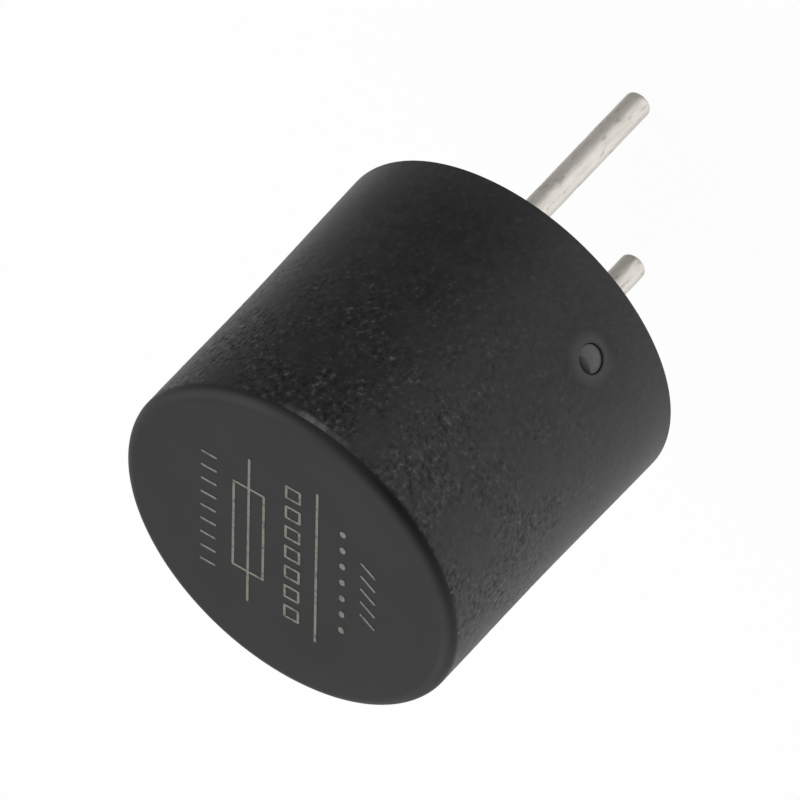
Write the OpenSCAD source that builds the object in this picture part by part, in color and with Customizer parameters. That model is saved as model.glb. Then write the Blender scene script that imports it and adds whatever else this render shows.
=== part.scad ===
// Subminiature radial lead fuse: a round moulded cap snapped over a base that holds two leads,
// with a wound slow-blowing element soldered across them inside. Millimetres, +Z towards the
// marked face. The origin is on the axis of the cap, in the plane of its open rim, which is
// what meets the circuit board. The leads lie along X and point down.

/* [Cap] */
// Outside diameter of the cap at its open rim
cap_d = 8.35; // [8:0.05:9]
// Height of the cap from its rim to the marked face
cap_h = 7.6; // [7.2:0.05:9]
// Draft angle of the side wall, which narrows towards the marked face
cap_draft = 0.4; // [0.2:0.1:1]
// Radius of the edge round the marked face
cap_edge_r = 0.35; // [0.1:0.05:0.5]
// Angle by which this radius stops short of the wall, where it ends in a crisp corner
edge_stop = 20; // [0:1:40]
// Wall round the chamber, measured at the rim's diameter
cap_wall = 0.75; // [0.65:0.05:0.9]
// Thickness of the end wall that carries the marking
cap_top = 0.7; // [0.5:0.05:1]
// Radius of the inside corner under the end wall
cap_inner_r = 0.35; // [0.2:0.05:0.6]
// Thinner wall round the mouth, where the base sits
mouth_wall = 0.5; // [0.4:0.05:0.6]
// Depth of the mouth, from the rim to the shoulder that stops the base
mouth_depth = 2.3; // [2:0.1:2.8]
// Chamfer that leads the base into the mouth
mouth_chamfer = 0.12; // [0.05:0.01:0.2]

/* [Snap] */
// Angle of the first snap from the lead line, the second one is opposite
snap_angle = 128.5; // [60:0.5:140]
// Centre of the snaps below the shoulder in the mouth
snap_drop = 0.75; // [0.5:0.01:0.9]
// Diameter of the round window in the cap's wall
window_d = 0.65; // [0.4:0.05:0.8]
// Diameter of the shallow flat round each window
spot_d = 1.05; // [0.85:0.05:1.2]
// Depth of that flat in the curved wall
spot_depth = 0.04; // [0.04:0.01:0.08]
// Play of the nub in its window, all round
nub_gap = 0.02; // [0.02:0.01:0.08]
// Height of the crown on the nub's end
nub_crown = 0.05; // [0.05:0.01:0.16]
// Depth of the nub's crown below the cap's surface
nub_sink = 0.05; // [0.02:0.01:0.15]
// Start of the nub's lead-in ramp, from the nub's centre towards the marked face
nub_ramp = 0.14; // [0.08:0.01:0.2]
// Slope of that ramp
ramp_angle = 50; // [30:1:65]

/* [Base] */
// Play of the base in the mouth, all round
base_gap = 0.03; // [0.02:0.01:0.06]
// Depth of the base's underside inside the rim
base_recess = 0.1; // [0.05:0.01:0.2]
// Thickness of the floor that holds the leads
base_floor = 1.1; // [0.8:0.05:1.4]
// Thickness of the skirt that stands up from the floor and carries the nubs
skirt_wall = 0.55; // [0.4:0.05:0.7]
// Chamfer on the skirt's top edge
skirt_chamfer = 0.15; // [0.05:0.01:0.25]
// Diameter of the boss round each lead
boss_d = 1.5; // [1.3:0.05:1.6]
// Height of the bosses above the top of the skirt
boss_rise = 0.3; // [0.1:0.05:0.8]
// Thickness of the barrier rib between the leads
rib_t = 0.45; // [0.3:0.05:0.8]
// Height of the barrier rib above the top of the skirt
rib_rise = 0.7; // [0.2:0.05:1]
// Play between the rib or a boss and the wall of the chamber
rib_gap = 0.12; // [0.05:0.01:0.3]

/* [Leads] */
// Distance between the two leads
pitch = 5.08; // [5:0.01:5.15]
// Diameter of the round leads
lead_d = 0.6; // [0.5:0.05:0.65]
// Length of the leads below the rim
lead_length = 4.7; // [3:0.1:20]
// Radius of the rounded lead tips
tip_r = 0.12; // [0.05:0.01:0.2]
// Length of the tapered neck where a lead enters the base
neck_length = 0.35; // [0.2:0.05:0.5]
// Narrowing of the neck, on the radius
neck_taper = 0.04; // [0.02:0.01:0.06]
// Width of the flat that each lead is coined to inside
blade_w = 0.86; // [0.8:0.02:1]
// Thickness of that flat
blade_t = 0.34; // [0.28:0.02:0.4]
// Height of the forked end above the centre of the element
fork_rise = 0.3; // [0.2:0.02:0.36]
// Play of the leads in the base
lead_gap = 0.01; // [0.005:0.005:0.02]

/* [Element] */
// Height of the element above the top of the skirt
element_rise = 2.4; // [1.8:0.1:2.8]
// Diameter of the glass-yarn core
core_d = 0.3; // [0.2:0.02:0.34]
// Length of the core past the centre of each lead
core_over = 0.35; // [0.25:0.01:0.45]
// Diameter of the fuse wire
wire_d = 0.06; // [0.04:0.01:0.08]
// Distance from one turn of the wire to the next
wind_pitch = 0.3; // [0.25:0.01:0.5]
// Play between the wire and the core
wind_gap = 0.01; // [0.006:0.001:0.02]
// Diameter of the solder joints, seen along the element
solder_d = 1.24; // [1.2:0.02:1.36]
// Thickness of the solder joints along the element
solder_t = 0.9; // [0.8:0.02:1.1]
// Film of solder between the winding and the fork
solder_film = 0.03; // [0.02:0.005:0.04]
// Play of the winding and the fork in the solder
solder_gap = 0.005; // [0.002:0.001:0.01]

/* [Hidden] */
$fn = 96;

CAP_BLACK = "#2b2b2c";
BASE_BLACK = "#262627";
TIN = "#c9c6bd";
GLASS_YARN = "#e9e6da";
WIRE_SILVER = "#c6b9a4";
SOLDER = "#b4b4b0";

// Room that a cutter needs past the face it opens
over = 0.5;

cap_r = cap_d / 2;
chamber_r = cap_r - cap_wall;
mouth_r = cap_r - mouth_wall;
ceiling = cap_h - cap_top;

base_r = mouth_r - base_gap;
floor_z = base_recess + base_floor;

snap_z = mouth_depth - snap_drop;
snap_wall_r = cap_r - snap_z * tan(cap_draft);
nub_r = window_d / 2 - nub_gap;
nub_end = snap_wall_r - nub_sink;
crown_r = (nub_r * nub_r + nub_crown * nub_crown) / (2 * nub_crown);

lead_r = lead_d / 2;
neck_end = base_recess + neck_length;
element_z = mouth_depth + element_rise;
fork_top = element_z + fork_rise;

core_half = pitch / 2 + core_over;
wind_r = core_d / 2 + wire_d / 2 + wind_gap;
winding_r = wind_r + wire_d / 2;
fork_r = winding_r + solder_film;

// Sides of the fuse wire and steps in each of its turns
WIRE_SIDES = 6;
TURN_STEPS = 16;

// Half section of a solid of revolution, r by h, with its top outer corner rounded
module round_top(r, h, corner) {
    square([r, h - corner]);
    square([r - corner, h]);
    translate([r - corner, h - corner]) circle(r = corner);
}

// Half section of the outside of the cap: a wall that leans in by the draft angle up to a
// crisp corner, and from there the edge radius, which runs smoothly into the face
module cap_outside() {
    corner_z = cap_h - cap_edge_r * (1 - sin(edge_stop));
    edge_x = cap_r - corner_z * tan(cap_draft) - cap_edge_r * cos(edge_stop);
    intersection() {
        polygon([[0, 0], [cap_r, 0], [cap_r - cap_h * tan(cap_draft), cap_h], [0, cap_h]]);
        union() {
            square([cap_r, corner_z]);
            square([edge_x, cap_h]);
            translate([edge_x, cap_h - cap_edge_r]) circle(r = cap_edge_r);
        }
    }
}

// Puts its children at both snaps, with their +Z pointing out of the wall
module at_snaps() {
    for (a = [snap_angle, snap_angle + 180])
        rotate([0, 0, a]) translate([0, 0, snap_z]) rotate([0, 90, 0]) children();
}

// Moulded cup with a stepped mouth and two round windows for the nubs of the base
module cap() {
    color(CAP_BLACK) difference() {
        rotate_extrude() cap_outside();
        translate([0, 0, mouth_depth - over])
            rotate_extrude() round_top(chamber_r, ceiling - mouth_depth + over, cap_inner_r);
        translate([0, 0, -over]) cylinder(r = mouth_r, h = mouth_depth + over);
        translate([0, 0, -over])
            cylinder(r1 = mouth_r + mouth_chamfer + over, r2 = mouth_r, h = mouth_chamfer + over);
        at_snaps() {
            translate([0, 0, mouth_r - over]) cylinder(d = window_d, h = mouth_wall + 2 * over);
            translate([0, 0, snap_wall_r - spot_depth]) cylinder(d = spot_d, h = over);
        }
    }
}

// Half section of a snap nub, with a crowned end
module nub_section() {
    intersection() {
        square([nub_r, nub_end]);
        union() {
            square([2 * nub_r, nub_end - crown_r]);
            translate([0, nub_end - crown_r]) circle(r = crown_r);
        }
    }
}

// Nub that stands out of the skirt into a window, with a ramp on the side that enters first
module nub() {
    difference() {
        intersection() {
            rotate_extrude() nub_section();
            translate([0, 0, base_r - skirt_wall / 2]) cylinder(r = 2 * nub_r, h = cap_r);
        }
        translate([-nub_ramp, 0, nub_end]) rotate([0, -ramp_angle, 0])
            translate([-2 * over, -over, 0]) cube([2 * over, 2 * over, over]);
    }
}

// Moulded plug: a floor round the leads, a skirt that meets the shoulder of the cap, a boss
// round each lead and a barrier rib that lengthens the path between them
module base() {
    color(BASE_BLACK) difference() {
        union() {
            difference() {
                translate([0, 0, base_recess]) cylinder(r = base_r, h = mouth_depth - base_recess);
                translate([0, 0, floor_z]) cylinder(r = base_r - skirt_wall, h = mouth_depth);
                translate([0, 0, mouth_depth - skirt_chamfer]) difference() {
                    cylinder(r = base_r + over, h = over);
                    cylinder(r1 = base_r, r2 = base_r - over, h = over);
                }
            }
            intersection() {
                cylinder(r = chamber_r - rib_gap, h = cap_h);
                translate([0, 0, floor_z / 2]) union() {
                    for (side = [-1, 1]) translate([side * pitch / 2, 0, 0])
                        cylinder(d = boss_d, h = mouth_depth + boss_rise - floor_z / 2);
                    translate([-rib_t / 2, -cap_r, 0])
                        cube([rib_t, cap_d, mouth_depth + rib_rise - floor_z / 2]);
                }
            }
            at_snaps() nub();
        }
        for (side = [-1, 1]) translate([side * pitch / 2, 0, 0]) lead_passage();
    }
}

// Opening in the base for one lead: a tapered hole for its neck, then a slot for its flat
module lead_passage() {
    translate([0, 0, base_recess]) neck(lead_gap);
    translate([0, 0, neck_end - lead_gap]) flat(lead_gap, mouth_depth + over);
}

// Tapered neck of a lead, grown by a clearance on every side
module neck(grow) {
    cylinder(r1 = lead_r + grow, r2 = lead_r - neck_taper + grow, h = neck_length);
}

// Coined flat of a lead, grown by a clearance on every side
module flat(grow, length) {
    translate([-blade_t / 2 - grow, -blade_w / 2 - grow, 0])
        cube([blade_t + 2 * grow, blade_w + 2 * grow, length]);
}

// Upper end of a lead: the flat with a round-bottomed fork that the element lies in
module forked_flat(grow) {
    translate([0, 0, neck_end]) difference() {
        flat(grow, fork_top - neck_end + grow);
        translate([0, 0, element_z - neck_end]) {
            rotate([0, 90, 0]) cylinder(r = fork_r - grow, h = 2 * blade_t, center = true);
            translate([-blade_t, -fork_r + grow, 0])
                cube([2 * blade_t, 2 * (fork_r - grow), fork_rise + over]);
        }
    }
}

// Tinned copper lead: round below the base, necked and coined flat inside it
module lead(side) {
    color(TIN) translate([side * pitch / 2, 0, 0]) {
        mirror([0, 0, 1]) translate([0, 0, -base_recess])
            rotate_extrude() round_top(lead_r, lead_length + base_recess, tip_r);
        translate([0, 0, base_recess]) neck(0);
        forked_flat(0);
    }
}

module lead_left() { lead(-1); }
module lead_right() { lead(1); }

// Glass-yarn core laid across both forks
module element_core() {
    color(GLASS_YARN) translate([0, 0, element_z]) rotate([0, 90, 0])
        cylinder(d = core_d, h = 2 * core_half, center = true);
}

// Place on the helix after a turning angle, and the directions out of it and across it
function wind_x(a) = -core_half + wire_d / 2 + a / 360 * wind_pitch;
function wind_point(a) = [wind_x(a), wind_r * cos(a), element_z + wind_r * sin(a)];
function wind_out(a) = [0, cos(a), sin(a)];
function wind_along(a) = let (v = [wind_pitch / 360 * 180 / PI, -wind_r * sin(a), wind_r * cos(a)]) v / norm(v);

// One ring of points round the wire, square to its run
function wire_ring(a) = [
    for (s = [0:WIRE_SIDES - 1])
        let (t = 360 * s / WIRE_SIDES)
            wind_point(a) + wire_d / 2 * (cos(t) * wind_out(a) + sin(t) * cross(wind_along(a), wind_out(a)))
];

// Fuse wire wound round the core from one end to the other
module fuse_wire() {
    whole_turn = (2 * core_half - wire_d) / wind_pitch;
    steps = round(whole_turn * TURN_STEPS);
    angle_step = 360 * whole_turn / steps;
    points = [for (i = [0:steps]) each wire_ring(i * angle_step)];
    sides = [
        for (i = [0:steps - 1], s = [0:WIRE_SIDES - 1])
            let (here = i * WIRE_SIDES, next = here + WIRE_SIDES, t = (s + 1) % WIRE_SIDES)
                each [[here + s, here + t, next + t], [here + s, next + t, next + s]]
    ];
    first = [for (s = [0:WIRE_SIDES - 1]) WIRE_SIDES - 1 - s];
    last = [for (s = [0:WIRE_SIDES - 1]) steps * WIRE_SIDES + s];
    color(WIRE_SILVER) polyhedron(points, concat([first], sides, [last]));
}

// Half section of a solder joint about the element: a flat disc with a full round rim
module solder_section() {
    rim_r = (solder_d - solder_t) / 2;
    intersection() {
        translate([0, -solder_t / 2]) square([solder_d / 2, solder_t]);
        union() {
            translate([0, -solder_t / 2]) square([rim_r, solder_t]);
            translate([rim_r, 0]) circle(d = solder_t);
        }
    }
}

// Blob of solder that closes a fork over the end of the element
module solder(side) {
    color(SOLDER) difference() {
        translate([side * pitch / 2, 0, element_z]) rotate([0, 90, 0]) rotate_extrude() solder_section();
        translate([side * pitch / 2, 0, 0]) forked_flat(solder_gap);
        translate([0, 0, element_z]) rotate([0, 90, 0])
            cylinder(r = winding_r + solder_gap, h = 2 * (core_half + solder_gap), center = true);
    }
}

module solder_left() { solder(-1); }
module solder_right() { solder(1); }

cap();
base();
lead_left();
lead_right();
element_core();
fuse_wire();
solder_left();
solder_right();
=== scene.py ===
from math import atan2, cos, hypot, pi, radians, sin, sqrt, tan

import bmesh
import bpy
from mathutils import Matrix, Vector, noise


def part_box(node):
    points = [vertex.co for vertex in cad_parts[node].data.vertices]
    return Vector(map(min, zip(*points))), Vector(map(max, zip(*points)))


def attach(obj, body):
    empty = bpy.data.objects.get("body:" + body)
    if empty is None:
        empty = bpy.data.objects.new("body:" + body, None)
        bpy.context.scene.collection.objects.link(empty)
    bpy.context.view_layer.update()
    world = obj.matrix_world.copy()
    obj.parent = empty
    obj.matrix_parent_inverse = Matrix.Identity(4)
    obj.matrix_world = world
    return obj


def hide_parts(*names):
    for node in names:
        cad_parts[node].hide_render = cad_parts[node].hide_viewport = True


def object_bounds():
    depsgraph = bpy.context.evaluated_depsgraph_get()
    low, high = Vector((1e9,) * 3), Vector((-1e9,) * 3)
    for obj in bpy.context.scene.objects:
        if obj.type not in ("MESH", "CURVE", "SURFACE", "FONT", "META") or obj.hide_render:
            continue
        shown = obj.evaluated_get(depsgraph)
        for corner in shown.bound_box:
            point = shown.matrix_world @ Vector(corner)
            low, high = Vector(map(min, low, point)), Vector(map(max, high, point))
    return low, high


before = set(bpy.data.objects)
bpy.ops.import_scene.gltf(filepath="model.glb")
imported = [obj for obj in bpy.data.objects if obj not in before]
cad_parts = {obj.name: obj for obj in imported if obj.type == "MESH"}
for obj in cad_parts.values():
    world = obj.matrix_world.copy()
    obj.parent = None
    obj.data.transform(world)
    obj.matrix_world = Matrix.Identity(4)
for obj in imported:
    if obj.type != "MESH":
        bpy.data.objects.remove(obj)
cad_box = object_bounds()
scene = bpy.context.scene

# Camera
# A long lens about 0.6 m away, above the marked face and turned a good third of a circle about
# its own axis, so the leads point up to the right and the marked face looks down to the left.
MM = 0.001
PHOTO_PX = 800
SENSOR_MM = 36
camera_azimuth = radians(154.02)
camera_elevation = radians(32.15)
camera_roll = radians(-136.33)
camera_distance = 600
camera_aim = Vector((-0.483, -0.266, 3.287))
px_per_mm = 49.11

back = Vector((cos(camera_elevation) * cos(camera_azimuth),
               cos(camera_elevation) * sin(camera_azimuth),
               sin(camera_elevation)))
level_right = Vector((-sin(camera_azimuth), cos(camera_azimuth), 0))
level_up = back.cross(level_right)
right = level_right * cos(camera_roll) + level_up * sin(camera_roll)
up = back.cross(right)
camera = bpy.data.objects.new("camera", bpy.data.cameras.new("camera"))
camera.data.sensor_width = SENSOR_MM
camera.data.lens = SENSOR_MM * px_per_mm * camera_distance / PHOTO_PX
camera.data.clip_end = 10
camera.matrix_world = Matrix.Translation((camera_aim + back * camera_distance) * MM) \
    @ Matrix((right, up, back)).transposed().to_4x4()
scene.collection.objects.link(camera)
scene.camera = camera
scene.view_settings.view_transform = "Standard"


# Studio
# A white sweep with two soft boxes. The floor lies under the lead tips and shows no horizon. Gloss
# and metal mirror a pale tent that is whitest low on one side, with a dark and a grey card in it.
def linear(code):
    """Linear RGBA of an sRGB hex colour."""
    parts = [int(code[i:i + 2], 16) / 255 for i in (1, 3, 5)]
    return (*[c / 12.92 if c <= 0.04045 else ((c + 0.055) / 1.055) ** 2.4 for c in parts], 1)


def add(tree, kind, inputs=None, **settings):
    """Adds a node with its settings. An input that is given as a socket is linked to it."""
    node = tree.nodes.new(kind)
    for name, value in settings.items():
        setattr(node, name, value)
    for key, value in (inputs or {}).items():
        if isinstance(value, bpy.types.NodeSocket):
            tree.links.new(value, node.inputs[key])
        else:
            node.inputs[key].default_value = value
    return node


def toward(azimuth, elevation):
    """Direction of a place in the studio, in degrees."""
    a, e = radians(azimuth), radians(elevation)
    return Vector((cos(e) * cos(a), cos(e) * sin(a), sin(e)))


def mirrored_rays(tree):
    """1 for rays that gloss, metal or glass sends on, else 0."""
    path = add(tree, "ShaderNodeLightPath").outputs
    return add(tree, "ShaderNodeMath", {0: path["Is Glossy Ray"], 1: path["Is Transmission Ray"]},
               operation="MAXIMUM").outputs[0]


def patch(surround, azimuth, elevation, edge, core, tone):
    """Blends a soft round patch of another tone into the surround, from its edge in to its core."""
    facing = add(tree, "ShaderNodeVectorMath", {0: way, 1: toward(azimuth, elevation)},
                 operation="DOT_PRODUCT").outputs["Value"]
    share = add(tree, "ShaderNodeMapRange", {"Value": facing, "From Min": cos(radians(edge)),
                                             "From Max": cos(radians(core))}, interpolation_type="SMOOTHSTEP")
    return add(tree, "ShaderNodeMixRGB", {0: share.outputs[0], 1: surround, 2: linear(tone)}).outputs[0]


white = linear("#ffffff")
fill_level = linear("#a8a8a8")

world = bpy.data.worlds.new("studio")
scene.world = world
world.use_nodes = True
tree = world.node_tree
tree.nodes.clear()
way = add(tree, "ShaderNodeTexCoord").outputs["Generated"]
tent = patch(linear("#d2d2d2"), azimuth=115, elevation=-37, edge=85, core=32, tone="#ffffff")
tent = patch(tent, azimuth=122, elevation=22, edge=50, core=15, tone="#0c0c0c")
tent = patch(tent, azimuth=230, elevation=-42, edge=70, core=20, tone="#6c6c6c")
around = add(tree, "ShaderNodeMixRGB", {0: mirrored_rays(tree), 1: fill_level, 2: tent}).outputs[0]
by_camera = add(tree, "ShaderNodeLightPath").outputs["Is Camera Ray"]
around = add(tree, "ShaderNodeMixRGB", {0: by_camera, 1: around, 2: white}).outputs[0]
ground = add(tree, "ShaderNodeBackground", {"Color": around}).outputs[0]
add(tree, "ShaderNodeOutputWorld", {"Surface": ground})

floor_radius = 150
floor_sides = 128
# share of the floor that is plain white to the camera, and share that mirrored rays pass through
floor_white = 0.965
floor_open = 0.8
floor_z = cad_box[0][2]
floor_mesh = bpy.data.meshes.new("floor")
shape = bmesh.new()
bmesh.ops.create_circle(shape, cap_ends=True, segments=floor_sides, radius=floor_radius * MM)
bmesh.ops.translate(shape, verts=shape.verts, vec=(0, 0, floor_z))
shape.to_mesh(floor_mesh)
shape.free()
floor = bpy.data.objects.new("floor", floor_mesh)
scene.collection.objects.link(floor)

floor_paint = bpy.data.materials.new("white_sweep")
floor_paint.use_nodes = True
tree = floor_paint.node_tree
tree.nodes.clear()
matt = add(tree, "ShaderNodeBsdfDiffuse", {"Color": linear("#f8f8f8")}).outputs[0]
glow = add(tree, "ShaderNodeEmission", {"Color": white, "Strength": 1.0}).outputs[0]
clear = add(tree, "ShaderNodeBsdfTransparent").outputs[0]
by_camera = add(tree, "ShaderNodeLightPath").outputs["Is Camera Ray"]
to_camera = add(tree, "ShaderNodeMath", {0: by_camera, 1: floor_white}, operation="MULTIPLY").outputs[0]
to_gloss = add(tree, "ShaderNodeMath", {0: mirrored_rays(tree), 1: floor_open},
               operation="MULTIPLY").outputs[0]
lit = add(tree, "ShaderNodeMixShader", {0: to_camera, 1: matt, 2: glow}).outputs[0]
lit = add(tree, "ShaderNodeMixShader", {0: to_gloss, 1: lit, 2: clear}).outputs[0]
below = add(tree, "ShaderNodeNewGeometry").outputs["Backfacing"]
both = add(tree, "ShaderNodeMixShader", {0: below, 1: lit, 2: clear}).outputs[0]
add(tree, "ShaderNodeOutputMaterial", {"Surface": both})
floor_mesh.materials.append(floor_paint)


def lamp(name, azimuth, elevation, distance, size, watts):
    """Square soft box that looks at the frame's origin, which lies in the fuse."""
    light = bpy.data.lights.new(name, "AREA")
    light.shape = "SQUARE"
    light.size = size * MM
    light.energy = watts
    from_here = toward(azimuth, elevation)
    box = bpy.data.objects.new(name, light)
    box.matrix_world = Matrix.Translation(from_here * distance * MM) \
        @ from_here.to_track_quat("Z", "Y").to_matrix().to_4x4()
    scene.collection.objects.link(box)


lamp("key", azimuth=255, elevation=52, distance=300, size=330, watts=0.42)
lamp("fill", azimuth=20, elevation=50, distance=300, size=300, watts=0.22)


# Leads
# Tinned copper wire. Inside the base it is necked and coined flat, and its upper end is forked
# to take the element. The free length is scuffed and lightly dented from tape and tooling.
pitch = 5.08
blade_past_wire = 0.13
lead_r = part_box("lead_right")[1].y / MM - blade_past_wire
lead_length = -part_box("lead_right")[0].z / MM
tip_r = 0.12
base_recess = 0.1
neck_length = 0.35
neck_taper = 0.04
blade_w = 0.86
blade_t = 0.34
element_z = 4.7
fork_rise = 0.3
fork_r = 0.25
neck_root = 0.05
ring_gap = 0.04
dents_per_mm = 3.1
dent_floor = 0.25
dent_depth = 0.018
waves_per_mm = 4
wave_stretch = 0.5
wave_depth = 0.0025


def arc(centre_r, centre_z, radius, start, end, parts):
    """Points of a round corner of a section, with its angles in degrees from straight out."""
    angles = [radians(start + (end - start) * i / parts) for i in range(parts + 1)]
    return [(centre_r + radius * cos(a), centre_z + radius * sin(a)) for a in angles]


def spin(section, steps, skin=None):
    """Closed mesh of a section in mm that runs from pole to pole. skin moves a point off the true round."""
    points, rings, faces = [], [], []
    for r, z in section:
        count = steps if r else 1
        rings.append(range(len(points), len(points) + count))
        for k in range(count):
            turn = 2 * pi * k / steps
            rr, zz = skin(r, z, turn) if skin and r else (r, z)
            points.append((rr * cos(turn) * MM, rr * sin(turn) * MM, zz * MM))
    for low, high in zip(rings, rings[1:]):
        for k in range(steps):
            n = (k + 1) % steps
            corners = [low[k % len(low)], low[n % len(low)], high[n % len(high)], high[k % len(high)]]
            faces.append(list(dict.fromkeys(corners)))
    mesh = bpy.data.meshes.new("spun")
    mesh.from_pydata(points, [], faces)
    return mesh


def prism(outline, thickness):
    """Closed plate with an outline in the YZ plane, centred on X."""
    mesh = bpy.data.meshes.new("plate")
    shape = bmesh.new()
    ring = [shape.verts.new((-thickness / 2 * MM, y * MM, z * MM)) for y, z in outline]
    front = shape.faces.new(ring)
    pushed = bmesh.ops.extrude_face_region(shape, geom=[front])["geom"]
    moved = [v for v in pushed if isinstance(v, bmesh.types.BMVert)]
    bmesh.ops.translate(shape, verts=moved, vec=(thickness * MM, 0, 0))
    shape.to_mesh(mesh)
    shape.free()
    return mesh


def piece(name, mesh):
    """Object around a closed mesh, with doubled points merged and every face turned outwards."""
    shape = bmesh.new()
    shape.from_mesh(mesh)
    bmesh.ops.remove_doubles(shape, verts=shape.verts, dist=1e-6 * MM)
    bmesh.ops.recalc_face_normals(shape, faces=shape.faces)
    shape.to_mesh(mesh)
    shape.free()
    made = bpy.data.objects.new(name, mesh)
    scene.collection.objects.link(made)
    return made


def applied(body):
    """Plain mesh of an object with its modifiers carried out."""
    bpy.context.view_layer.update()
    return bpy.data.meshes.new_from_object(body.evaluated_get(bpy.context.evaluated_depsgraph_get()))


def combine(body, tool_mesh, operation):
    """Cuts a mesh from the body or joins it on."""
    tool = piece("tool", tool_mesh)
    step = body.modifiers.new("combine", "BOOLEAN")
    step.operation = operation
    step.object = tool
    step.solver = "EXACT"
    result = applied(body)
    body.modifiers.clear()
    body.data = result
    bpy.data.objects.remove(tool)


def dress(body, paints, edge_angle, slot, *nodes):
    """Shades a piece smooth up to a real edge, gives it its materials and hangs it on the frame."""
    for face in body.data.polygons:
        face.use_smooth = True
    body.data.set_sharp_from_angle(angle=radians(edge_angle))
    body.data.materials.clear()
    for paint in paints:
        body.data.materials.append(paint)
    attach(body, "root")
    if nodes:
        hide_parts(*nodes)


def material(name):
    """New material with an empty tree, and that tree."""
    paint = bpy.data.materials.new(name)
    paint.use_nodes = True
    paint.node_tree.nodes.clear()
    return paint, paint.node_tree


def satin_tin():
    """Tin plating: a pale warm satin metal, with a thin dull oxide on it that takes a fifth of its
    mirror, and with soft dabs and fine scratches along the wire."""
    paint, tree = material("satin_tin_plating")
    place = add(tree, "ShaderNodeTexCoord").outputs["Object"]
    along = add(tree, "ShaderNodeMapping", {"Vector": place, "Scale": (1, 1, 0.12)}).outputs[0]
    scuffs = add(tree, "ShaderNodeTexNoise", {"Vector": along, "Scale": 1 / (0.08 * MM), "Detail": 2,
                                              "Roughness": 0.5}).outputs["Fac"]
    oval = add(tree, "ShaderNodeMapping", {"Vector": place, "Scale": (1, 1, 0.45)}).outputs[0]
    dabs = add(tree, "ShaderNodeTexNoise", {"Vector": oval, "Scale": 1 / (0.14 * MM), "Detail": 1.5,
                                            "Roughness": 0.5}).outputs["Fac"]
    worn = add(tree, "ShaderNodeMapRange", {"Value": scuffs, "From Min": 0.3, "From Max": 0.6}).outputs[0]
    worn = add(tree, "ShaderNodeMixRGB", {0: worn, 1: linear("#eee9df"), 2: linear("#fffaf0")}).outputs[0]
    dull = add(tree, "ShaderNodeMapRange", {"Value": dabs, "From Min": 0.4, "From Max": 0.28,
                                            "To Max": 0.5}).outputs[0]
    worn = add(tree, "ShaderNodeMixRGB", {0: dull, 1: worn, 2: linear("#b0aca6")}).outputs[0]
    rough = add(tree, "ShaderNodeMapRange", {"Value": dabs, "From Min": 0.35, "From Max": 0.65,
                                             "To Min": 0.42, "To Max": 0.3}).outputs[0]
    bump = add(tree, "ShaderNodeBump", {"Height": dabs, "Strength": 0.5, "Distance": 0.008 * MM}).outputs[0]
    shader = add(tree, "ShaderNodeBsdfPrincipled", {"Base Color": worn, "Metallic": 0.8,
                                                    "Roughness": rough, "Normal": bump}).outputs[0]
    add(tree, "ShaderNodeOutputMaterial", {"Surface": shader})
    return paint


def fork_outline():
    """Side view of the coined flat as (y, z): straight flanks and a round-bottomed fork."""
    half, foot, top = blade_w / 2, base_recess + neck_length, element_z + fork_rise
    slot = arc(0, element_z, fork_r, 0, -180, 24)
    return [(-half, foot), (half, foot), (half, top), (fork_r, top), *slot, (-fork_r, top), (-half, top)]


def lead_skin(seed):
    """Dents and drawing waves of a few micrometres on the free length of one lead."""
    def skin(r, z, turn):
        """Radius and height that a point of the round wire gets on the dented one."""
        if z > 0:
            return r, z
        at = Vector((r * cos(turn), r * sin(turn), z)) + Vector((seed, 0, 0))
        dent = max(0, noise.noise(at * dents_per_mm) - dent_floor) * dent_depth
        wave = (noise.noise(Vector((at.x, at.y, z * wave_stretch)) * waves_per_mm) + 1) * wave_depth
        return r * (1 - (dent + wave) / lead_r), z
    return skin


tin = satin_tin()
neck_r = lead_r - neck_taper
neck_end = base_recess + neck_length
free = lead_length - tip_r
rings = round(free / ring_gap)
for side, node in ((-1, "lead_left"), (1, "lead_right")):
    section = [(0, -lead_length), *arc(lead_r - tip_r, -free, tip_r, -90, -10, 7)]
    section += [(lead_r, -free + (free + base_recess) * i / rings) for i in range(rings + 1)]
    section += [(neck_r, neck_end), (neck_r, neck_end + neck_root), (0, neck_end + neck_root)]
    lead = piece(node + "_wire", spin(section, steps=64, skin=lead_skin(seed=side * 5)))
    combine(lead, prism(fork_outline(), blade_t), "UNION")
    lead.data.transform(Matrix.Translation((side * pitch / 2 * MM, 0, 0)))
    dress(lead, [tin], 40, "tinned_copper", node)

# Base
# Plug of black glass-filled polyamide, moulded in one shot: floor, skirt, a boss round each
# lead, a barrier rib, and two nubs with a ramp on their leading side that snap into the cap.
rim_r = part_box("cap")[1].x / MM
cap_draft = radians(0.4)
mouth_wall = 0.5
mouth_depth = 2.3
plug_gap = 0.03
base_r = rim_r - mouth_wall - plug_gap
floor_top = 1.2
skirt_wall = 0.55
skirt_chamfer = 0.15
boss_r = 0.75
boss_top = 2.6
rib_t = 0.45
rib_top = 3.0
rib_half = 3.295
lead_gap = 0.01
snap_angles = (128.5, 308.5)
snap_z = 1.55
snap_wall_r = rim_r - snap_z * tan(cap_draft)
window_r = 0.325
nub_r = 0.32
nub_end = snap_wall_r - 0.02
nub_crown = 0.045
nub_lip = 0.035
ramp_start = 0.14
ramp_round = 0.15
ramp_slope = radians(50)
# how far the cutters run on: the ramp's past the nub three ways, the hole's below, the slot's above
ramp_run = 0.3
ramp_over = 0.05
ramp_across = 2
hole_under = 0.1
slot_over = 0.5


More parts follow.
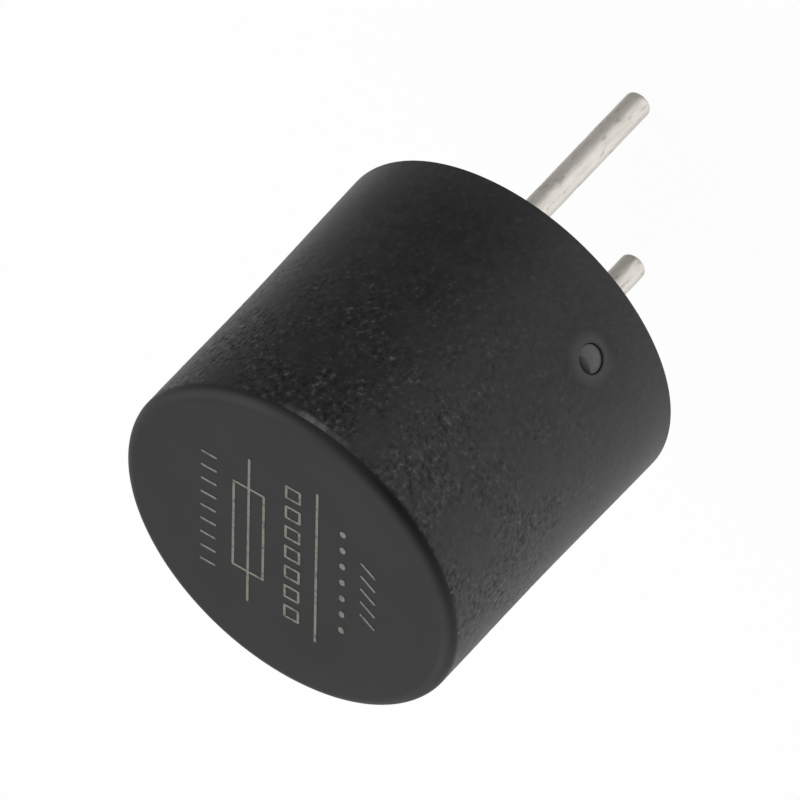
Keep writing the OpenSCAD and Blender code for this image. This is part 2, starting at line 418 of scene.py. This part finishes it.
def black_polyamide(name, tone, gloss, roughness, grain_mm, grain_depth):
    """Moulded black plastic: near black, with a weak gloss that the texture of its mould breaks up."""
    paint, tree = material(name)
    place = add(tree, "ShaderNodeTexCoord").outputs["Object"]
    coarse = add(tree, "ShaderNodeTexVoronoi", {"Vector": place, "Scale": 1 / (grain_mm * MM)},
                 feature="SMOOTH_F1").outputs["Distance"]
    fine = add(tree, "ShaderNodeTexNoise", {"Vector": place, "Scale": 3 / (grain_mm * MM),
                                            "Detail": 2}).outputs["Fac"]
    patches = add(tree, "ShaderNodeTexNoise", {"Vector": place, "Scale": 1 / (0.9 * MM),
                                               "Detail": 3}).outputs["Fac"]
    colour = add(tree, "ShaderNodeMixRGB", {0: patches, 1: linear(tone[0]), 2: linear(tone[1])}).outputs[0]
    uneven = 0.04
    rough = add(tree, "ShaderNodeMapRange", {"Value": patches, "From Min": 0.3, "From Max": 0.7,
                                             "To Min": roughness - uneven,
                                             "To Max": roughness + uneven}).outputs[0]
    bump = add(tree, "ShaderNodeBump", {"Height": coarse, "Strength": 1.0, "Distance": grain_depth * MM},
               invert=True).outputs[0]
    bump = add(tree, "ShaderNodeBump", {"Height": fine, "Strength": 0.6, "Distance": grain_depth / 2 * MM,
                                        "Normal": bump}).outputs[0]
    shader = add(tree, "ShaderNodeBsdfPrincipled", {"Base Color": colour, "Roughness": rough, "Normal": bump,
                                                    "Specular IOR Level": gloss}).outputs[0]
    add(tree, "ShaderNodeOutputMaterial", {"Surface": shader})
    return paint


def block(low, high):
    """Closed box mesh between two corners in mm."""
    (x0, y0, z0), (x1, y1, z1) = low, high
    mesh = prism([(y0, z0), (y1, z0), (y1, z1), (y0, z1)], x1 - x0)
    mesh.transform(Matrix.Translation(((x0 + x1) / 2 * MM, 0, 0)))
    return mesh


def at_snap(mesh, angle):
    """Puts a mesh at a snap, with its Z pointing out of the wall and its -X towards the marked face."""
    mesh.transform(Matrix.Rotation(radians(angle), 4, "Z") @ Matrix.Translation((0, 0, snap_z * MM))
                   @ Matrix.Rotation(radians(90), 4, "Y"))
    return mesh


def moved(mesh, x):
    """Moves a mesh along X, in mm, and hands it back."""
    mesh.transform(Matrix.Translation((x * MM, 0, 0)))
    return mesh


edge = 0.03
skirt_in = base_r - skirt_wall
section = [(0, base_recess), *arc(base_r - edge, base_recess + edge, edge, -90, 0, 4),
           (base_r, mouth_depth - skirt_chamfer), (base_r - skirt_chamfer, mouth_depth),
           *arc(skirt_in + edge, mouth_depth - edge, edge, 90, 180, 4), (skirt_in, floor_top), (0, floor_top)]
base = piece("base_plug", spin(section, steps=256))
boss = [(0, floor_top / 2), (boss_r, floor_top / 2),
        *arc(boss_r - edge, boss_top - edge, edge, 0, 90, 4), (0, boss_top)]
for side in (-1, 1):
    combine(base, moved(spin(boss, steps=64), side * pitch / 2), "UNION")
combine(base, block((-rib_t / 2, -rib_half, floor_top / 2), (rib_t / 2, rib_half, rib_top)), "UNION")

crown_w = nub_r - nub_lip
crown_r = (crown_w ** 2 + nub_crown ** 2) / (2 * nub_crown)
crown_parts = 8
crown = [(x, nub_end - crown_r + sqrt(crown_r ** 2 - x ** 2))
         for x in [crown_w * (1 - i / crown_parts) for i in range(1, crown_parts + 1)]]
nub = [(0, skirt_in + skirt_wall / 2), (nub_r, skirt_in + skirt_wall / 2),
       *arc(nub_r - nub_lip, nub_end - nub_crown - nub_lip, nub_lip, 0, 90, 6), *crown]
round_start = ramp_start - ramp_round * tan(ramp_slope / 2)
ramp_end = ramp_start + ramp_run
ramp_outline = [(round_start, nub_end + ramp_over),
                *arc(round_start, nub_end - ramp_round, ramp_round, 90, 40, 8),
                (ramp_end, nub_end - ramp_run * tan(ramp_slope)), (ramp_end, nub_end + ramp_over)]
for angle in snap_angles:
    nub_piece = piece("nub", spin(nub, steps=48))
    ramp = prism(ramp_outline, ramp_across)
    ramp.transform(Matrix.Rotation(radians(90), 4, "Z"))
    combine(nub_piece, ramp, "DIFFERENCE")
    combine(base, at_snap(nub_piece.data, angle), "UNION")
    bpy.data.objects.remove(nub_piece)

hole = [(0, base_recess - hole_under), (lead_r + lead_gap, base_recess - hole_under),
        (lead_r + lead_gap, base_recess), (neck_r + lead_gap, neck_end), (0, neck_end)]
half_t, half_w = blade_t / 2 + lead_gap, blade_w / 2 + lead_gap
for side in (-1, 1):
    combine(base, moved(spin(hole, steps=64), side * pitch / 2), "DIFFERENCE")
    slot = block((-half_t, -half_w, neck_end - lead_gap), (half_t, half_w, boss_top + slot_over))
    combine(base, moved(slot, side * pitch / 2), "DIFFERENCE")
plug_plastic = black_polyamide("plain_moulded_polyamide", ("#525254", "#5a5a5b"), gloss=0.65,
                               roughness=0.36, grain_mm=0.16, grain_depth=0.001)
dress(base, [plug_plastic], 30, "base_plastic", "base")

# Element core
# Yarn of glass fibre: six strands twisted round a straight one, off-white. It carries the fuse
# wire across the chamber, and its ends lie in the forks of the leads.
core_half = 2.89
strand_r = 0.05
core_twist = 1.2


def strand_tree():
    """Strands of round wire that wind about Z, evenly spaced round it."""
    tree = bpy.data.node_groups.new("wound_strands", "GeometryNodeTree")
    for name, kind in (("Winding radius", "NodeSocketFloat"), ("Pitch", "NodeSocketFloat"),
                       ("Length", "NodeSocketFloat"), ("Wire radius", "NodeSocketFloat"),
                       ("Strands", "NodeSocketInt"), ("Material", "NodeSocketMaterial")):
        tree.interface.new_socket(name=name, in_out="INPUT", socket_type=kind)
    tree.interface.new_socket(name="Geometry", in_out="OUTPUT", socket_type="NodeSocketGeometry")
    given = add(tree, "NodeGroupInput").outputs
    turns = add(tree, "ShaderNodeMath", {0: given["Length"], 1: given["Pitch"]},
                operation="DIVIDE").outputs[0]
    helix = add(tree, "GeometryNodeCurveSpiral", {"Resolution": 32, "Rotations": turns,
                                                  "Start Radius": given["Winding radius"],
                                                  "End Radius": given["Winding radius"],
                                                  "Height": given["Length"], "Reverse": True}).outputs[0]
    ring = add(tree, "GeometryNodeCurvePrimitiveCircle", {"Resolution": 12, "Radius": given["Wire radius"]},
               mode="RADIUS").outputs[0]
    wire = add(tree, "GeometryNodeCurveToMesh", {"Curve": helix, "Profile Curve": ring,
                                                 "Fill Caps": True}).outputs[0]
    spots = add(tree, "GeometryNodePoints", {"Count": given["Strands"]}).outputs[0]
    share = add(tree, "ShaderNodeMath", {0: 2 * pi, 1: given["Strands"]}, operation="DIVIDE").outputs[0]
    number = add(tree, "GeometryNodeInputIndex").outputs[0]
    turn = add(tree, "ShaderNodeMath", {0: number, 1: share}, operation="MULTIPLY").outputs[0]
    turn = add(tree, "ShaderNodeCombineXYZ", {"Z": turn}).outputs[0]
    laid = add(tree, "GeometryNodeInstanceOnPoints", {"Points": spots, "Instance": wire,
                                                      "Rotation": turn}).outputs[0]
    real = add(tree, "GeometryNodeRealizeInstances", {"Geometry": laid}).outputs[0]
    painted = add(tree, "GeometryNodeSetMaterial", {"Geometry": real,
                                                    "Material": given["Material"]}).outputs[0]
    add(tree, "NodeGroupOutput", {"Geometry": painted})
    return tree


def wound(name, sizes):
    """Plain mesh of wound strands, laid along X through the middle of both forks."""
    host = bpy.data.objects.new(name, bpy.data.meshes.new(name))
    scene.collection.objects.link(host)
    step = host.modifiers.new("wind", "NODES")
    step.node_group = strands
    for socket in strands.interface.items_tree:
        if socket.in_out == "INPUT":
            step[socket.identifier] = sizes[socket.name]
    mesh = applied(host)
    bpy.data.objects.remove(host)
    # Z is laid along X, X along Y and Y along Z
    along_x = Matrix(((0, 0, 1, 0), (1, 0, 0, 0), (0, 1, 0, 0), (0, 0, 0, 1)))
    mesh.transform(Matrix.Translation((-sizes["Length"] / 2, 0, element_z * MM)) @ along_x)
    return mesh


def glass_yarn():
    """Glass-fibre yarn: off-white, dull, with fine fibres along its length."""
    paint, tree = material("glass_fibre_yarn")
    place = add(tree, "ShaderNodeTexCoord").outputs["Object"]
    along = add(tree, "ShaderNodeMapping", {"Vector": place, "Scale": (0.1, 1, 1)}).outputs[0]
    fibres = add(tree, "ShaderNodeTexNoise", {"Vector": along, "Scale": 1 / (0.012 * MM),
                                              "Detail": 2}).outputs["Fac"]
    colour = add(tree, "ShaderNodeMixRGB", {0: fibres, 1: linear("#d8d0bd"), 2: linear("#f0ebdd")}).outputs[0]
    bump = add(tree, "ShaderNodeBump", {"Height": fibres, "Strength": 0.6, "Distance": 0.004 * MM}).outputs[0]
    shader = add(tree, "ShaderNodeBsdfPrincipled", {"Base Color": colour, "Roughness": 0.55,
                                                    "Normal": bump}).outputs[0]
    add(tree, "ShaderNodeOutputMaterial", {"Surface": shader})
    return paint


strands = strand_tree()
yarn = glass_yarn()
core = piece("core_yarn", wound("strands", {"Winding radius": 2 * strand_r * MM, "Pitch": core_twist * MM,
                                            "Length": (2 * core_half - strand_r) * MM,
                                            "Wire radius": strand_r * MM, "Strands": 6, "Material": yarn}))
heart = spin([(0, -core_half), (strand_r, -core_half), (strand_r, core_half), (0, core_half)], steps=12)
heart.transform(Matrix.Translation((0, 0, element_z * MM)) @ Matrix.Rotation(radians(90), 4, "Y"))
combine(core, heart, "UNION")
dress(core, [yarn], 50, "glass_yarn", "element_core")

# Fuse wire
# Bare drawn alloy wire, wound round the core from one fork to the other. The core draws heat
# from it, which is what makes the fuse slow to blow.
wire_r = 0.03
wind_r = 0.19
wind_pitch = 0.3


def drawn_alloy():
    """Drawn bare wire: pale metal, with a warmer and glossier stain here and there."""
    paint, tree = material("drawn_alloy_wire")
    place = add(tree, "ShaderNodeTexCoord").outputs["Object"]
    stain = add(tree, "ShaderNodeTexNoise", {"Vector": place, "Scale": 1 / (0.2 * MM),
                                             "Detail": 3}).outputs["Fac"]
    colour = add(tree, "ShaderNodeMixRGB", {0: stain, 1: linear("#b7a68c"), 2: linear("#dccfbb")}).outputs[0]
    rough = add(tree, "ShaderNodeMapRange", {"Value": stain, "To Min": 0.2, "To Max": 0.4}).outputs[0]
    shader = add(tree, "ShaderNodeBsdfPrincipled", {"Base Color": colour, "Metallic": 1,
                                                    "Roughness": rough}).outputs[0]
    add(tree, "ShaderNodeOutputMaterial", {"Surface": shader})
    return paint


alloy = drawn_alloy()
winding = piece("fuse_winding", wound("winding", {"Winding radius": wind_r * MM, "Pitch": wind_pitch * MM,
                                                  "Length": 2 * (core_half - wire_r) * MM,
                                                  "Wire radius": wire_r * MM, "Strands": 1,
                                                  "Material": alloy}))
dress(winding, [alloy], 50, "fuse_alloy", "fuse_wire")


# Solder
# Blobs of reflowed solder that close each fork over the end of the element. Their shape is the
# frame's own, so only the finish is added here.
def reflowed_solder():
    """Solder as it froze: satin grey metal with a faint crystalline mottle."""
    paint, tree = material("reflowed_solder")
    place = add(tree, "ShaderNodeTexCoord").outputs["Object"]
    crystals = add(tree, "ShaderNodeTexVoronoi", {"Vector": place,
                                                  "Scale": 1 / (0.09 * MM)}).outputs["Distance"]
    colour = add(tree, "ShaderNodeMixRGB", {0: crystals, 1: linear("#c2c2be"),
                                            2: linear("#a9a9a6")}).outputs[0]
    bump = add(tree, "ShaderNodeBump", {"Height": crystals, "Strength": 0.4,
                                        "Distance": 0.004 * MM}).outputs[0]
    shader = add(tree, "ShaderNodeBsdfPrincipled", {"Base Color": colour, "Metallic": 1, "Roughness": 0.32,
                                                    "Normal": bump}).outputs[0]
    add(tree, "ShaderNodeOutputMaterial", {"Surface": shader})
    return paint


solder = reflowed_solder()
for node in ("solder_left", "solder_right"):
    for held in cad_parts[node].material_slots:
        held.material = solder

# Cap
# Cup of black polyamide moulded in a spark-eroded cavity, so its side wall is finely grained and
# its end face finer. The face runs into the wall by a radius that stops short in a crisp corner.
ink_height = 0.008
face_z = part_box("cap")[1].z / MM - ink_height
edge_r = 0.31
edge_stop = 8
waist = 0.03
cap_wall = 0.75
ceiling = 6.9
inner_r = 0.35
mouth_chamfer = 0.12
wall_rings = 124
spot_r = 0.525
spot_depth = 0.025
spot_soft = 0.11
# how far the windows' cutter runs on into the chamber and out of the wall
bore_in = 0.4
bore_out = 0.3
# the grain is shallow low on the wall, full above, and gone at the rim, at the corner and inside
grain_mm = 0.13
grain_depth = 0.007
shallow_share = 0.25
full_between = (1.8, 4.4)
rim_between = (0.02, 0.3)
corner_fade = 0.15
lip_margin = 0.02
mottles_per_mm = 0.9
mottle_depth = 0.004
grain_past_corner = 0.05
# the painted glint on a stretch of the corner, a pale highlight painted into the wall's colour: where its
# middle faces, how far out that way it begins and is full, and how far under the corner it begins and is full
glint_azimuth = 173
glint_ends = 4.03
glint_middle = 4.12
glint_foot = 0.13
glint_top = 0.04


def wall(z):
    """Outside radius of the wall at a height, with its draft and a slight waist from shrinkage."""
    return rim_r - z * tan(cap_draft) - waist * sin(pi * z / face_z) ** 2


def ramp_up(value, low, high):
    """0 below low and 1 above high, with a smooth rise between them."""
    t = min(1, max(0, (value - low) / (high - low)))
    return t * t * (3 - 2 * t)


def cap_skin(r, z, turn):
    """Moulded texture of the outside, and the shallow soft-edged flat round each window."""
    if r < rim_r - mouth_wall + mouth_chamfer + lip_margin or z > edge_z:
        return r, z
    at = Vector((r * cos(turn), r * sin(turn), z))
    across = min(((turn - radians(angle) + pi) % (2 * pi) - pi for angle in snap_angles), key=abs)
    near = 1 - ramp_up(hypot(r * sin(across), z - snap_z), spot_r - spot_soft, spot_r + spot_soft)
    r += (min(r, (snap_wall_r - spot_depth) / cos(across)) - r) * near if near else 0
    domes = noise.voronoi(at / grain_mm)[0][0]
    strength = shallow_share + (1 - shallow_share) * ramp_up(z, *full_between)
    fade = ramp_up(z, *rim_between) * (1 - ramp_up(z, edge_z - corner_fade, edge_z)) * (1 - near)
    mottle = max(0, noise.noise(at * mottles_per_mm)) * mottle_depth
    return r - (grain_depth * min(1, domes) * strength + mottle) * fade, z


def sparkling_polyamide(edge_z):
    """Spark-eroded black wall: a dull mottled ground with fine grain, denser towards the marked face. Its
    peaks are painted pale for the glints their facets catch, a painted highlight, and its pits near black for
    the shade in them, a painted shade. The gloss is all in the coat, because its weight may follow the pits,
    where the grain swallows it. The wall is smooth round the windows and is painted a lighter grey there for
    its sheen. It is painted lighter towards the rim as a painted highlight, and it carries a painted glint, a
    pale highlight, on a stretch of its corner."""
    paint, tree = material("spark_eroded_polyamide")
    place = add(tree, "ShaderNodeTexCoord").outputs["Object"]
    height = add(tree, "ShaderNodeSeparateXYZ", {"Vector": place}).outputs["Z"]
    coarse_here = add(tree, "ShaderNodeMapRange", {"Value": height, "From Min": 1.5 * MM,
                                                   "From Max": 5.5 * MM},
                      interpolation_type="SMOOTHSTEP").outputs[0]
    patches = add(tree, "ShaderNodeTexNoise", {"Vector": place, "Scale": 1 / (1.05 * MM),
                                               "Detail": 3}).outputs["Fac"]
    patches = add(tree, "ShaderNodeMapRange", {"Value": patches, "From Min": 0.38,
                                               "From Max": 0.64}).outputs[0]
    # distance from the line that runs through both windows
    from_spot = add(tree, "ShaderNodeVectorMath", {0: place, 1: (0, 0, snap_z * MM)},
                    operation="SUBTRACT").outputs[0]
    from_spot = add(tree, "ShaderNodeVectorMath", {0: from_spot, 1: toward(snap_angles[0], 0)},
                    operation="CROSS_PRODUCT").outputs[0]
    from_spot = add(tree, "ShaderNodeVectorMath", {0: from_spot}, operation="LENGTH").outputs["Value"]
    grain_here = add(tree, "ShaderNodeMapRange", {"Value": from_spot, "From Min": (spot_r - spot_soft) * MM,
                                                  "From Max": (spot_r + spot_soft) * MM}).outputs[0]
    craters = add(tree, "ShaderNodeTexNoise", {"Vector": place, "Scale": 1 / (0.12 * MM), "Detail": 2,
                                               "Roughness": 0.6}).outputs["Fac"]
    peaks = add(tree, "ShaderNodeMapRange", {"Value": craters, "From Min": 0.58, "From Max": 0.75}).outputs[0]
    pits = add(tree, "ShaderNodeMapRange", {"Value": craters, "From Min": 0.5, "From Max": 0.34}).outputs[0]
    amount = add(tree, "ShaderNodeMath", {0: coarse_here, 1: patches}, operation="MULTIPLY").outputs[0]
    amount = add(tree, "ShaderNodeMapRange", {"Value": amount, "To Min": 0.15, "To Max": 1}).outputs[0]
    amount = add(tree, "ShaderNodeMath", {0: amount, 1: grain_here}, operation="MULTIPLY").outputs[0]
    # Painted highlight: the grain's peaks are painted pale for the glints their facets catch.
    pale = add(tree, "ShaderNodeMath", {0: peaks, 1: amount}, operation="MULTIPLY").outputs[0]
    dark = add(tree, "ShaderNodeMath", {0: pits, 1: amount}, operation="MULTIPLY").outputs[0]
    mottle = add(tree, "ShaderNodeTexNoise", {"Vector": place, "Scale": 1 / (0.3 * MM),
                                              "Detail": 2}).outputs["Fac"]
    mottle = add(tree, "ShaderNodeMapRange", {"Value": mottle, "From Min": 0.35, "From Max": 0.65}).outputs[0]
    ground = add(tree, "ShaderNodeMixRGB", {0: mottle, 1: linear("#0f0f10"), 2: linear("#1c1c1d")}).outputs[0]
    # Painted highlight: the ground is painted lighter towards the rim.
    rim_highlight = add(tree, "ShaderNodeMapRange", {"Value": height, "From Max": 1.1 * MM}).outputs[0]
    ground = add(tree, "ShaderNodeMixRGB", {0: rim_highlight, 1: linear("#262627"), 2: ground}).outputs[0]
    # Painted shade: the grain's pits are painted near black for the shade in them. The same mask also lowers
    # the coat's gloss.
    ground = add(tree, "ShaderNodeMixRGB", {0: dark, 1: ground, 2: linear("#040404")}).outputs[0]
    # Painted sheen: the smooth flat round each window is painted a lighter grey for the sheen it shows.
    ground = add(tree, "ShaderNodeMixRGB", {0: grain_here, 1: linear("#3a3a3b"), 2: ground}).outputs[0]
    colour = add(tree, "ShaderNodeMixRGB", {0: pale, 1: ground, 2: linear("#606061")}).outputs[0]
    # Painted highlight: a pale glint is painted into the colour on a stretch just under the corner, on the
    # side it faces, made uneven by the mottle.
    glint_band = add(tree, "ShaderNodeMapRange", {"Value": height, "From Min": (edge_z - glint_foot) * MM,
                                                   "From Max": (edge_z - glint_top) * MM}).outputs[0]
    glint_side = add(tree, "ShaderNodeVectorMath", {0: place, 1: toward(glint_azimuth, 0)},
                    operation="DOT_PRODUCT").outputs["Value"]
    glint_side = add(tree, "ShaderNodeMapRange", {"Value": glint_side, "From Min": glint_ends * MM,
                                                 "From Max": glint_middle * MM}).outputs[0]
    painted_glint = add(tree, "ShaderNodeMath", {0: glint_band, 1: glint_side}, operation="MULTIPLY").outputs[0]
    uneven = add(tree, "ShaderNodeMapRange", {"Value": mottle, "To Min": 0.35, "To Max": 1}).outputs[0]
    painted_glint = add(tree, "ShaderNodeMath", {0: painted_glint, 1: uneven}, operation="MULTIPLY").outputs[0]
    colour = add(tree, "ShaderNodeMixRGB", {0: painted_glint, 1: colour, 2: linear("#6c6c6d")}).outputs[0]
    gloss = add(tree, "ShaderNodeMapRange", {"Value": dark, "To Min": 1, "To Max": 0.5}).outputs[0]
    depth = add(tree, "ShaderNodeMath", {0: amount, 1: 0.03 * MM}, operation="MULTIPLY").outputs[0]
    bump = add(tree, "ShaderNodeBump", {"Height": craters, "Strength": 1.0, "Distance": depth}).outputs[0]
    shader = add(tree, "ShaderNodeBsdfPrincipled", {"Base Color": colour, "Roughness": 0.4, "Normal": bump,
                                                    "Specular IOR Level": 0, "Coat Weight": gloss,
                                                    "Coat Roughness": 0.4, "Coat IOR": 1.53,
                                                    "Coat Normal": bump}).outputs[0]
    add(tree, "ShaderNodeOutputMaterial", {"Surface": shader})
    return paint


edge_z = face_z - edge_r * (1 - sin(radians(edge_stop)))
edge_centre = wall(edge_z) - edge_r * cos(radians(edge_stop))
chamber_r, mouth_r = rim_r - cap_wall, rim_r - mouth_wall
section = [(0, ceiling), *arc(chamber_r - inner_r, ceiling - inner_r, inner_r, 90, 0, 8),
           (chamber_r, mouth_depth), (mouth_r, mouth_depth), (mouth_r, mouth_chamfer),
           (mouth_r + mouth_chamfer, 0)]
section += [(wall(edge_z * i / wall_rings), edge_z * i / wall_rings) for i in range(wall_rings + 1)]
section += arc(edge_centre, face_z - edge_r, edge_r, edge_stop, 90, 10)[1:]
section += [(edge_centre * k, face_z) for k in (0.75, 0.5, 0.25, 0)]
cap = piece("cap_shell", spin(section, steps=512, skin=cap_skin))
lip = 0.02
flat_level = snap_wall_r - spot_depth
bore = [(0, mouth_r - bore_in), (window_r, mouth_r - bore_in),
        *arc(window_r + lip, flat_level - lip, lip, 180, 90, 4),
        (window_r + lip, rim_r + bore_out), (0, rim_r + bore_out)]
for angle in snap_angles:
    combine(cap, at_snap(spin(bore, steps=64), angle), "DIFFERENCE")
grained = sparkling_polyamide(edge_z)
matt_face = black_polyamide("fine_matt_polyamide", ("#0f0f10", "#121213"), gloss=0.4,
                            roughness=0.48, grain_mm=0.05, grain_depth=0.0008)
dress(cap, [grained, matt_face], 20, "cap_plastic", "cap")
grain_end = edge_z + grain_past_corner
for face in cap.data.polygons:
    middle = face.center / MM
    outside = hypot(middle.x, middle.y) > mouth_r + mouth_chamfer and middle.z < grain_end
    face.material_index = 0 if outside else 1

# Marking
# Pad-printed pale ink on the end face, a few micrometres thick and slightly worn: a plain fuse
# symbol, ticks, small squares, a rule, dots and slanted strokes, which carry no words. Places on
# the face are (s, t) in mm, with s along -X and t along -Y.
stroke = 0.06
dot_width = 0.14
end_parts = 6
ink_foot = 0.002


def bar(start, end, width=stroke):
    """Ink stroke with round ends between two places on the face, read with the leads behind it."""
    (s0, t0), (s1, t1) = start, end
    lie = atan2(t1 - t0, s1 - s0)
    outline = []
    for (s, t), first in (((s1, t1), lie - pi / 2), ((s0, t0), lie + pi / 2)):
        outline += [(s + width / 2 * cos(first + pi * i / end_parts),
                     t + width / 2 * sin(first + pi * i / end_parts)) for i in range(end_parts + 1)]
    mesh = prism(outline, ink_height + ink_foot)
    # the plate's YZ plane is laid on the face, with s along -X and t along -Y
    lay = Matrix(((0, -1, 0, 0), (0, 0, -1, 0), (1, 0, 0, 0), (0, 0, 0, 1)))
    mesh.transform(Matrix.Translation((0, 0, (face_z + (ink_height - ink_foot) / 2) * MM)) @ lay)
    return mesh


def box_lines(s, t, half_s, half_t):
    """The four strokes of an outlined box."""
    a, b = (s - half_s, t - half_t), (s + half_s, t - half_t)
    c, d = (s + half_s, t + half_t), (s - half_s, t + half_t)
    return [bar(a, b), bar(b, c), bar(c, d), bar(d, a)]


def worn_ink():
    """Pad-printing ink: pale grey, dull, thinner in places so the black shows through a little."""
    paint, tree = material("pad_printed_ink")
    place = add(tree, "ShaderNodeTexCoord").outputs["Object"]
    wear = add(tree, "ShaderNodeTexNoise", {"Vector": place, "Scale": 1 / (0.12 * MM),
                                            "Detail": 4}).outputs["Fac"]
    colour = add(tree, "ShaderNodeValToRGB", {"Fac": wear})
    colour.color_ramp.elements[0].position = 0.32
    colour.color_ramp.elements[0].color = linear("#65645e")
    colour.color_ramp.elements[1].position = 0.5
    colour.color_ramp.elements[1].color = linear("#8c8a81")
    bump = add(tree, "ShaderNodeBump", {"Height": wear, "Strength": 0.4, "Distance": 0.002 * MM}).outputs[0]
    shader = add(tree, "ShaderNodeBsdfPrincipled", {"Base Color": colour.outputs[0], "Roughness": 0.6,
                                                    "Normal": bump, "Specular IOR Level": 0.2}).outputs[0]
    add(tree, "ShaderNodeOutputMaterial", {"Surface": shader})
    return paint


symbol = box_lines(0, 0.95, 1.3, 0.375) + [bar((-2.2, 0.95), (2.2, 0.95))]
ticks = [bar((s * 0.42, 1.78), (s * 0.42, 2.12)) for s in range(-4, 5)]
squares = [line for k in range(-3, 4) for line in box_lines(k * 0.62, -0.15, 0.17, 0.17)]
rule = [bar((-2.3, -0.75), (2.3, -0.75))]
dots = [bar((k * 0.5 - 0.02, -1.4), (k * 0.5 + 0.02, -1.4), dot_width) for k in range(-3, 4)]
slants = [bar((k * 0.4 - 0.12, -2.2), (k * 0.4 + 0.12, -1.88)) for k in range(-2, 3)]
ink = worn_ink()
for name, strokes in (("symbol", symbol), ("ticks", ticks), ("squares", squares), ("rule", rule),
                      ("dots", dots), ("slants", slants)):
    print_mark = piece("printed_" + name, strokes[0])
    for more in strokes[1:]:
        combine(print_mark, more, "UNION")
    dress(print_mark, [ink], 30, "cap_plastic")
